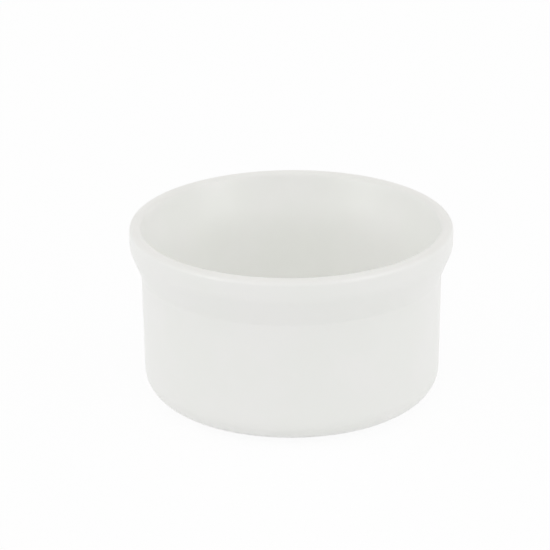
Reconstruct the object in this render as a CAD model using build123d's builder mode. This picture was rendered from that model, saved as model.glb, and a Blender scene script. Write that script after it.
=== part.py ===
from build123d import *
import os

# A plain white ramekin: a round, straight-walled baking cup with a flared collar and a rounded lip.
# The fired porcelain body carries two separate coats of glaze. One runs over the outside, the lip
# and the inside. The other lines the shallow recess under the base. The foot ring between them is
# wiped bare, because the cup stands on it in the kiln.
# Lengths are in millimetres. Z is the cup's axis, and Z0 is the surface that the foot ring stands on.

# Overall sizes, measured over the glaze
rim_radius = 45.0
height = 50.0

# Collar: the neck is where it leaves the wall, and the shoulder is where its flare turns upright
collar_overhang = 3.1
collar_height = 13.8
flare_height = 7.8
neck_round = 1.6
shoulder_round = 6.7

# Wall: it narrows a little from the neck down to the heel, the rounded corner at the base
wall_draft = 0.45
heel_round = 6.9

# Lip: the wall is thinnest here, and its two rounds nearly meet on top
lip_thickness = 3.2
lip_round_share = 0.53

# Inside: it flares straight from the throat, level with the neck, up to the lip, without the
# collar's upright face. The well is the floor's rounded corner.
neck_wall = 4.0
heel_wall = 4.5
throat_round = 30.0
well_round = 6.5

# Base and foot ring: the foot ring stands below the base, round a recess that is a little deeper
base_thickness = 4.0
foot_height = 0.8
foot_width = 3.4
foot_inset = 1.4
recess_depth = 1.5
foot_edge_share = 0.4
recess_round_share = 0.5

# Glaze: it ends half way up the foot ring, above the ring's bare face
glaze_thickness = 0.25
bare_band_share = 0.5

# Radii and heights that follow from those sizes
neck_radius = rim_radius - collar_overhang
heel_radius = neck_radius - wall_draft
mouth_radius = rim_radius - lip_thickness
throat_radius = neck_radius - neck_wall
well_radius = heel_radius - heel_wall
foot_radius = heel_radius - heel_round - foot_inset
recess_radius = foot_radius - foot_width
neck_z = height - collar_height
shoulder_z = neck_z + flare_height
floor_z = recess_depth + base_thickness
lip_round = lip_thickness * lip_round_share
foot_edge_round = foot_height * foot_edge_share
recess_round = recess_depth * recess_round_share
bare_band = foot_height * bare_band_share


# Half section over the glaze, from the middle of the floor round to the middle of the recess
with BuildSketch(Plane.XZ) as finished_section:
    with BuildLine():
        outline = FilletPolyline(
            (0, floor_z),
            (well_radius, floor_z),
            (throat_radius, neck_z),
            (mouth_radius, height),
            (rim_radius, height),
            (rim_radius, shoulder_z),
            (neck_radius, neck_z),
            (heel_radius, foot_height),
            (foot_radius, foot_height),
            (foot_radius, 0),
            (recess_radius, 0),
            (recess_radius, recess_depth),
            (0, recess_depth),
            radius=(
                well_round,
                throat_round,
                lip_round,
                lip_round,
                shoulder_round,
                neck_round,
                heel_round,
                foot_edge_round,
                foot_edge_round,
                foot_edge_round,
                recess_round,
            ),
        )
        Line(outline @ 1, outline @ 0)
    make_face()


# The body is the finished form less the glaze all round, but its foot reaches down to Z0 bare.
# Half the base is above this height, and half the foot ring is inside this radius.
base_middle_z = recess_depth + base_thickness / 2
foot_middle_radius = foot_radius - foot_width / 2

with BuildPart() as porcelain_body:
    with BuildSketch(Plane.XZ) as body_section:
        add(finished_section.sketch_local)
        mirror(about=Plane.YZ)
        offset(amount=-glaze_thickness)
        split(bisect_by=Plane.YZ)
        with Locations((foot_middle_radius, 0)):
            Rectangle(
                foot_width - 2 * glaze_thickness,
                base_middle_z,
                align=(Align.CENTER, Align.MIN),
            )
        fillet(body_section.vertices().group_by(Axis.Y)[0], foot_edge_round)
    revolve(axis=Axis.Z)
porcelain_body.part.label = "porcelain_body"


# The coat that is seen: outside, over the lip and down the inside, ending above the bare band
with BuildPart() as glaze_coat:
    with BuildSketch(Plane.XZ) as coat_section:
        add(finished_section.sketch_local)
        add(body_section.sketch_local, mode=Mode.SUBTRACT)
        Rectangle(foot_middle_radius, base_middle_z, align=Align.MIN, mode=Mode.SUBTRACT)
        Rectangle(rim_radius, bare_band, align=Align.MIN, mode=Mode.SUBTRACT)
    revolve(axis=Axis.Z)
glaze_coat.part.label = "glaze_coat"


# The coat in the recess under the base, up to the same line on the foot ring's inner side
with BuildPart() as underside_glaze:
    with BuildSketch(Plane.XZ) as recess_section:
        add(finished_section.sketch_local)
        add(body_section.sketch_local, mode=Mode.SUBTRACT)
        Rectangle(foot_middle_radius, base_middle_z, align=Align.MIN, mode=Mode.INTERSECT)
        Rectangle(rim_radius, bare_band, align=Align.MIN, mode=Mode.SUBTRACT)
    revolve(axis=Axis.Z)
underside_glaze.part.label = "underside_glaze"


os.makedirs("parts", exist_ok=True)
for piece in (porcelain_body, glaze_coat, underside_glaze):
    export_step(piece.part, f"parts/{piece.part.label}.step")
    print(piece.part.label, "volume", round(piece.part.volume), "cubic mm")
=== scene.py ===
import math

import bpy
from mathutils import Matrix, Vector


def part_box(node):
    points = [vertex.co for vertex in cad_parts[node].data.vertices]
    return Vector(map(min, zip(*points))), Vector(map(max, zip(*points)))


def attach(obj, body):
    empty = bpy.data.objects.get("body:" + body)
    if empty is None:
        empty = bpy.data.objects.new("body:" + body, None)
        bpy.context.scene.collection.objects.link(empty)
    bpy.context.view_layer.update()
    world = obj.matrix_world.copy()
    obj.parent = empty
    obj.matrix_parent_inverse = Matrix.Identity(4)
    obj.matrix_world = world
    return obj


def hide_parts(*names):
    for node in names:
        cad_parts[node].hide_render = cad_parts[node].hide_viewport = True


# A white porcelain ramekin: its two coats of glaze are drawn here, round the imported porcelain.
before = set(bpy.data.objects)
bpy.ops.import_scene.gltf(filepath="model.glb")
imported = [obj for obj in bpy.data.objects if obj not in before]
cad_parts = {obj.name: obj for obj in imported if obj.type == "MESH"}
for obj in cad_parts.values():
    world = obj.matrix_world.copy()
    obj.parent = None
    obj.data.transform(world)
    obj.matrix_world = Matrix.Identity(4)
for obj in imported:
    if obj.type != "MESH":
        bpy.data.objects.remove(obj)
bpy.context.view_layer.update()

# The cup's sizes below are in millimetres, as a potter writes them, and the studio's in metres.
mm = 0.001

# The coats' widths, the height and the lower edges come from the frame.
coatLow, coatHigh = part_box("glaze_coat")
recessLow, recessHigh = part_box("underside_glaze")


# How both coats are made
glazing = {
    "thickness": 0.25,
    "endRound": 0.1,  # the ends are soft, where surface tension drew them back from the sponge's line
    "endSegments": 3,
    "endAngle": 60,  # corners that turn less than this, in degrees, aren't softened
    "spinSteps": 192,
    "mergeWithin": 0.005,
    "smoothAngle": 40,
}


# Drawing tools


def deselectAll():
    if bpy.context.object and bpy.context.object.mode == "EDIT":
        bpy.ops.object.mode_set(mode="OBJECT")
    bpy.ops.object.select_all(action="DESELECT")


def startOutline(name, radius, height):
    deselectAll()
    bpy.ops.mesh.primitive_plane_add(size=1 * mm, location=(0, 0, 0))
    piece = bpy.context.object
    piece.name = name
    piece.data.name = name
    bpy.ops.object.mode_set(mode="EDIT")
    bpy.ops.mesh.merge(type="CENTER")  # one point is left, to be drawn out into the half section
    bpy.ops.transform.translate(value=(radius * mm, 0, height * mm))
    return piece


def drawStraight(start, end, stepLength):
    run = end - start
    steps = max(1, math.ceil(run.length / stepLength))
    for _ in range(steps):
        bpy.ops.mesh.extrude_vertices_move(
            TRANSFORM_OT_translate={"value": (run.x / steps * mm, 0, run.y / steps * mm)}
        )


def drawRound(centre, turn, stepAngle):
    steps = max(2, math.ceil(abs(turn) / stepAngle))  # one step would cut the corner flat
    bpy.ops.mesh.spin(
        steps=steps,
        angle=abs(turn),
        center=(centre.x * mm, 0, centre.y * mm),
        axis=(0, math.copysign(1, turn), 0),
    )


def drawOutline(name, corners, detail):
    # corners are (radius, height, rounding), in order from the foot
    # the first and the last are the outline's ends and have no rounding
    points = [Vector((radius, height)) for radius, height, _ in corners]
    piece = startOutline(name, *points[0])
    pen = points[0]
    for i in range(1, len(points) - 1):
        comingIn = (points[i] - points[i - 1]).normalized()
        goingOut = (points[i + 1] - points[i]).normalized()
        turn = math.atan2(comingIn.cross(goingOut), comingIn.dot(goingOut))
        rounding = corners[i][2]
        roundStart = points[i] - comingIn * rounding * math.tan(abs(turn) / 2)
        side = Vector((-comingIn.y, comingIn.x)) * math.copysign(1, turn)
        drawStraight(pen, roundStart, detail["straightStep"])
        drawRound(roundStart + side * rounding, turn, math.radians(detail["roundStep"]))
        pen = points[i] + goingOut * rounding * math.tan(abs(turn) / 2)
    drawStraight(pen, points[-1], detail["straightStep"])
    return piece


def spinOutline():
    bpy.ops.mesh.select_all(action="SELECT")
    bpy.ops.mesh.spin(
        steps=glazing["spinSteps"],
        angle=math.tau,
        center=(0, 0, 0),
        axis=(0, 0, 1),
    )
    bpy.ops.mesh.select_all(action="SELECT")
    bpy.ops.mesh.remove_doubles(threshold=glazing["mergeWithin"] * mm)
    bpy.ops.mesh.normals_make_consistent(inside=False)
    bpy.ops.object.mode_set(mode="OBJECT")


def applyModifier(piece, kind, settings):
    modifier = piece.modifiers.new(kind.title(), kind)
    for name, value in settings.items():
        setattr(modifier, name, value)
    bpy.ops.object.modifier_apply(modifier=modifier.name)


def thicken(piece):
    applyModifier(
        piece,
        "SOLIDIFY",
        {
            "thickness": glazing["thickness"] * mm,
            "offset": -1,
            "use_even_offset": True,
            "use_rim": True,
        },
    )
    applyModifier(
        piece,
        "BEVEL",
        {
            "width": glazing["endRound"] * mm,
            "segments": glazing["endSegments"],
            "limit_method": "ANGLE",
            "angle_limit": math.radians(glazing["endAngle"]),
        },
    )
    bpy.ops.object.shade_smooth_by_angle(angle=math.radians(glazing["smoothAngle"]))


# Shader maths

noiseMiddle = 0.5  # noise varies about this


class Wire:  # one output socket in a node tree, so that a sum of wires adds its Math nodes
    def __init__(self, tree, socket=None):
        self.tree = tree
        self.socket = socket

    def node(self, kind, settings, sockets, output=0):
        made = self.tree.nodes.new("ShaderNode" + kind)
        for name, value in settings.items():
            setattr(made, name, value)
        for name, value in sockets.items():
            if isinstance(value, Wire):
                self.tree.links.new(value.socket, made.inputs[name])
            else:
                made.inputs[name].default_value = value
        return Wire(self.tree, made.outputs[output] if len(made.outputs) else None)

    def maths(self, operation, first, second):
        return self.node("Math", {"operation": operation}, {0: first, 1: second})

    def __add__(self, other):
        return self.maths("ADD", self, other)

    def __sub__(self, other):
        return self.maths("SUBTRACT", self, other)

    def __rsub__(self, other):
        return self.maths("SUBTRACT", other, self)

    def __mul__(self, other):
        return self.maths("MULTIPLY", self, other)

    __radd__ = __add__
    __rmul__ = __mul__

    def atLeast(self, other):
        return self.maths("MAXIMUM", self, other)

    def between(self, low, high):  # 0 at low, 1 at high, eased
        return self.node(
            "MapRange",
            {"interpolation_type": "SMOOTHSTEP"},
            {"Value": self, "From Min": low, "From Max": high},
        )

    def mixColours(self, first, second):  # self is the share of the second
        # sockets 6 and 7 and output 2 are the Mix node's colours
        return self.node(
            "Mix", {"data_type": "RGBA"}, {0: self, 6: first, 7: second}, output=2
        )

    def noise(self, place, scale, detail):
        return self.node("TexNoise", {}, {"Vector": place, "Scale": scale, "Detail": detail})


def startMaterial(name):
    material = bpy.data.materials.new(name)
    material.use_nodes = True
    material.node_tree.nodes.clear()
    return material, Wire(material.node_tree)


def dress(piece, material):
    piece.data.materials.clear()
    piece.data.materials.append(material)


# The glaze: clear over white porcelain, with a soft gloss. Colours are linear.
glazeFinish = {
    "white": (0.935, 0.934, 0.912, 1),
    "thick": (0.924, 0.929, 0.90, 1),  # where it pools, a little greener
    "thinShaded": (0.852, 0.842, 0.812, 1),  # where it breaks over the lip, a little warmer, and darker as painted shade on the lip's top
    "thinShadeEven": 0.6,  # how much of that tone the lip's top takes all round
    "thinShadeClouded": 0.4,  # and how much more in the clouds
    "roughness": 0.32,
    "roughnessSpread": 0.05,
    "index": 1.5,
    "cloudScale": 60,
    "cloudDetail": 2.0,
    "cloudLow": 0.35,  # a cloud starts here in the noise and is full at cloudHigh
    "cloudHigh": 0.65,
    "rippleScale": 220,
    "rippleDetail": 3.0,
    "rippleStrength": 0.3,
    "rippleHeight": 0.012 * mm,
}


def glazeMaterial(sizes):
    finish = glazeFinish
    material, start = startMaterial("glossyWhiteGlaze")
    place = start.node("TexCoord", {}, {}, output="Object")
    height = place.node("SeparateXYZ", {}, {"Vector": place}, output="Z")
    clouds = start.noise(place, finish["cloudScale"], finish["cloudDetail"])
    lip = height.between(sizes["lipBreakAndShade"] * mm, sizes["height"] * mm)
    lipThinAndShaded = lip * (finish["thinShadeEven"] + finish["thinShadeClouded"] * clouds)
    pooled = clouds.between(finish["cloudLow"], finish["cloudHigh"])
    colour = pooled.mixColours(finish["white"], finish["thick"])
    # the lip's top takes a warmer, darker tone: partly the glaze breaking thin, partly painted shade
    colour = lipThinAndShaded.mixColours(colour, finish["thinShaded"])
    roughness = finish["roughness"] + finish["roughnessSpread"] * (clouds - noiseMiddle)
    ripple = start.noise(place, finish["rippleScale"], finish["rippleDetail"])
    normal = start.node(
        "Bump",
        {},
        {
            "Height": ripple,
            "Strength": finish["rippleStrength"],
            "Distance": finish["rippleHeight"],
        },
    )
    surface = start.node(
        "BsdfPrincipled",
        {},
        {
            "Base Color": colour,
            "Roughness": roughness,
            "IOR": finish["index"],
            "Normal": normal,
        },
    )
    start.node("OutputMaterial", {}, {"Surface": surface})
    return material


# Bare porcelain, where the foot ring was wiped before firing
bareFinish = {
    "clay": (0.80, 0.78, 0.735, 1),
    "rubbed": (0.64, 0.62, 0.58, 1),  # where the ring has stood and slid on shelves
    "roughness": 0.75,
    "rubbedGloss": 0.2,  # how much less rough it is there
    "standingHeight": 0.2 * mm,  # the marks end this high above the shelf
    "grainScale": 2600,
    "grainDetail": 4.0,
    "grainStrength": 0.6,
    "grainHeight": 0.02 * mm,
    "smudgeScale": 180,
    "smudgeDetail": 4.0,
    "smudgeLow": 0.45,  # a mark starts here in the noise and is full at smudgeHigh
    "smudgeHigh": 0.7,
}


def bareMaterial():
    finish = bareFinish
    material, start = startMaterial("bareFiredPorcelain")
    place = start.node("TexCoord", {}, {}, output="Object")
    height = place.node("SeparateXYZ", {}, {"Vector": place}, output="Z")
    grain = start.noise(place, finish["grainScale"], finish["grainDetail"])
    smudges = start.noise(place, finish["smudgeScale"], finish["smudgeDetail"])
    standing = 1 - height.between(0.0, finish["standingHeight"])
    rubbed = standing * smudges.between(finish["smudgeLow"], finish["smudgeHigh"])
    colour = rubbed.mixColours(finish["clay"], finish["rubbed"])
    normal = start.node(
        "Bump",
        {},
        {
            "Height": grain,
            "Strength": finish["grainStrength"],
            "Distance": finish["grainHeight"],
        },
    )
    surface = start.node(
        "BsdfPrincipled",
        {},
        {
            "Base Color": colour,
            "Roughness": finish["roughness"] - finish["rubbedGloss"] * rubbed,
            "Normal": normal,
        },
    )
    start.node("OutputMaterial", {}, {"Surface": surface})
    return material


# The coat that is seen: outside, over the lip and down the inside
coat = {
    "rimRadius": coatHigh.x / mm,
    "height": coatHigh.z / mm,
    "edgeHeight": coatLow.z / mm,  # where the wiped foot ring starts
    "collarOverhang": 3.1,
    "collarHeight": 13.8,
    "flareHeight": 7.8,
    "neckRound": 1.6,
    "shoulderRound": 6.7,
    "wallDraft": 0.45,
    "heelRound": 6.9,
    "footHeight": 0.8,
    "footInset": 1.4,
    "footRound": 0.32,
    "lipThickness": 3.2,
    "lipRound": 1.696,  # a little over half the lip, so its two rounds nearly meet on top
    "neckWall": 4.0,
    "throatRound": 30.0,
    "heelWall": 4.5,
    "wellRound": 6.5,
    "floorHeight": 5.5,
    "lipBreakAndShade": 48.7,  # from here up the glaze thins over the lip, and the lip's top takes a painted shade
    "straightStep": 2.0,
    "roundStep": 7.5,
}


def makeCoat(sizes):
    rim = sizes["rimRadius"]
    neck = rim - sizes["collarOverhang"]
    heel = neck - sizes["wallDraft"]
    foot = heel - sizes["heelRound"] - sizes["footInset"]
    mouth = rim - sizes["lipThickness"]
    throat = neck - sizes["neckWall"]
    well = heel - sizes["heelWall"]
    top = sizes["height"]
    neckHeight = top - sizes["collarHeight"]
    shoulderHeight = neckHeight + sizes["flareHeight"]
    corners = [
        (foot, sizes["edgeHeight"], 0),
        (foot, sizes["footHeight"], sizes["footRound"]),
        (heel, sizes["footHeight"], sizes["heelRound"]),
        (neck, neckHeight, sizes["neckRound"]),
        (rim, shoulderHeight, sizes["shoulderRound"]),
        (rim, top, sizes["lipRound"]),
        (mouth, top, sizes["lipRound"]),
        (throat, neckHeight, sizes["throatRound"]),
        (well, sizes["floorHeight"], sizes["wellRound"]),
        (0, sizes["floorHeight"], 0),
    ]
    piece = drawOutline("glaze_over_cup", corners, sizes)
    spinOutline()
    thicken(piece)
    return piece


# The coat in the recess under the base
recess = {
    "radius": recessHigh.x / mm,  # the porcelain's, so the glaze stands inside it
    "edgeHeight": recessLow.z / mm,
    "depth": 1.5,
    "round": 0.75,
    "straightStep": 1.5,
    "roundStep": 10,
}


def makeRecess(sizes):
    wall = sizes["radius"] - glazing["thickness"]
    corners = [
        (wall, sizes["edgeHeight"], 0),
        (wall, sizes["depth"], sizes["round"]),
        (0, sizes["depth"], 0),
    ]
    piece = drawOutline("glaze_in_recess", corners, sizes)
    spinOutline()
    thicken(piece)
    return piece


glaze = glazeMaterial(coat)
cup = makeCoat(coat)
dress(cup, glaze)
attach(cup, "root")
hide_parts("glaze_coat")
print("glaze over the cup made:", len(cup.data.polygons), "faces")

underside = makeRecess(recess)
dress(underside, glaze)
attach(underside, "root")
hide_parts("underside_glaze")
print("glaze in the recess made:", len(underside.data.polygons), "faces")

dress(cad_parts["porcelain_body"], bareMaterial())
print("bare porcelain dressed")


# Floor: white to the camera and in reflections, and still a little darker where the cup shades it
floor = {
    "radius": 6.0,
    "sides": 64,
    "paper": (0.93, 0.93, 0.93, 1),
    "whiteShare": 0.94,
    "whiteStrength": 1.0,
}


def raysThatShow(start):
    kinds = ("Is Camera Ray", "Is Glossy Ray", "Is Transmission Ray")
    camera, glossy, through = (start.node("LightPath", {}, {}, output=kind) for kind in kinds)
    return camera.atLeast(glossy).atLeast(through)


def makeFloor(sizes):
    deselectAll()
    bpy.ops.mesh.primitive_circle_add(
        vertices=sizes["sides"], radius=sizes["radius"], fill_type="NGON", location=(0, 0, 0)
    )
    paper = bpy.context.object
    paper.name = "studio_floor"
    material, start = startMaterial("whitePaper")
    lit = start.node("BsdfDiffuse", {}, {"Color": sizes["paper"]})
    white = start.node("Emission", {}, {"Strength": sizes["whiteStrength"]})
    share = raysThatShow(start) * sizes["whiteShare"]
    surface = start.node("MixShader", {}, {0: share, 1: lit, 2: white})
    start.node("OutputMaterial", {}, {"Surface": surface})
    dress(paper, material)


# Light: a white tent, brighter above, in front and at the sides than behind. The camera and the
# glaze's reflections see it plain white, with a softbox on each side that shows in the glaze.
tent = {
    "colour": (1, 1, 1, 1),
    "allRound": 0.15,
    "above": 0.49,
    "below": 0.60,  # shows only where the floor is taken away
    "sides": 0.54,
    "frontAbove": 1.14,
    "sidesAbove": 0.92,
    "softbox": 2.0,
    "softboxAcross": 0.812,  # the way to its middle, as a direction of length 1
    "softboxForward": 0.473,
    "softboxUp": 0.342,
    "softboxEdge": 0.93,  # cosines of the angles from its middle where it starts and is full
    "softboxFull": 0.985,
}


def makeTent(sizes):
    world = bpy.data.worlds.new("whiteTent")
    world.use_nodes = True
    world.node_tree.nodes.clear()
    bpy.context.scene.world = world
    start = Wire(world.node_tree)
    way = start.node("TexCoord", {}, {}, output="Generated")
    right, back, up = (
        start.node("SeparateXYZ", {}, {"Vector": way}, output=axis) for axis in ("X", "Y", "Z")
    )
    below, up = (0 - up).atLeast(0), up.atLeast(0)
    across = right.atLeast(0 - right)
    front = (0 - back).atLeast(0)
    sideways = across * across
    towards = (
        across * sizes["softboxAcross"]
        + front * sizes["softboxForward"]
        + up * sizes["softboxUp"]
    )
    softbox = towards.between(sizes["softboxEdge"], sizes["softboxFull"])
    reflected = start.node("LightPath", {}, {}, output="Is Glossy Ray")
    strength = (
        sizes["allRound"]
        + up * sizes["above"]
        + below * sizes["below"]
        + sideways * sizes["sides"]
        + front * up * sizes["frontAbove"]
        + sideways * up * sizes["sidesAbove"]
    )
    shown = raysThatShow(start)
    strength = strength * (1 - shown) + shown + softbox * reflected * sizes["softbox"]
    light = start.node("Background", {}, {"Color": sizes["colour"], "Strength": strength})
    start.node("OutputWorld", {}, {"Surface": light})


# One round lamp overhead
lamp = {"watts": 0.34, "size": 1.4, "height": 1.3}


def makeLamp(sizes):
    deselectAll()
    bpy.ops.object.light_add(type="AREA", location=(0, 0, sizes["height"]))
    light = bpy.context.object
    light.name = "overhead_lamp"
    light.data.shape = "DISK"
    light.data.size = sizes["size"]
    light.data.energy = sizes["watts"]


# Camera, fitted to the outline and the lip's front in the photograph, 550 pixels wide and high
shot = {
    "nearest": 0.01,
    "farthest": 50,
    "distance": 0.7,
    "elevation": 22.24,
    "lean": 0.32,  # the cup's right side stands this much higher in the picture, in degrees
    "targetHeight": 24.8,  # on the cup's axis, in millimetres
    "targetAcross": 291.35,  # where that point stands in the picture, in pixels
    "targetDown": 305.6,
    "picture": 550,
    "lens": 162.8,
    "sensor": 36.0,
}


def makeCamera(sizes):
    data = bpy.data.cameras.new("productCamera")
    data.lens = sizes["lens"]
    data.sensor_width = sizes["sensor"]
    data.clip_start = sizes["nearest"]
    data.clip_end = sizes["farthest"]
    camera = bpy.data.objects.new("productCamera", data)
    bpy.context.scene.collection.objects.link(camera)
    elevation = math.radians(sizes["elevation"])
    target = Vector((0, 0, sizes["targetHeight"] * mm))
    back = Vector((0, -math.cos(elevation), math.sin(elevation)))
    lensInPixels = sizes["picture"] * sizes["lens"] / sizes["sensor"]
    turnLeft = math.atan((sizes["targetAcross"] - sizes["picture"] / 2) / lensInPixels)
    tiltUp = math.atan((sizes["targetDown"] - sizes["picture"] / 2) / lensInPixels)
    camera.matrix_world = (
        Matrix.Translation(target + back * sizes["distance"])
        @ Matrix.Rotation(math.pi / 2 - elevation, 4, "X")
        @ Matrix.Rotation(turnLeft, 4, "Y")
        @ Matrix.Rotation(tiltUp, 4, "X")
        @ Matrix.Rotation(-math.radians(sizes["lean"]), 4, "Z")
    )
    bpy.context.scene.camera = camera


makeFloor(floor)
makeTent(tent)
makeLamp(lamp)
makeCamera(shot)
bpy.context.scene.view_settings.view_transform = "Standard"
print("floor, light and camera set")
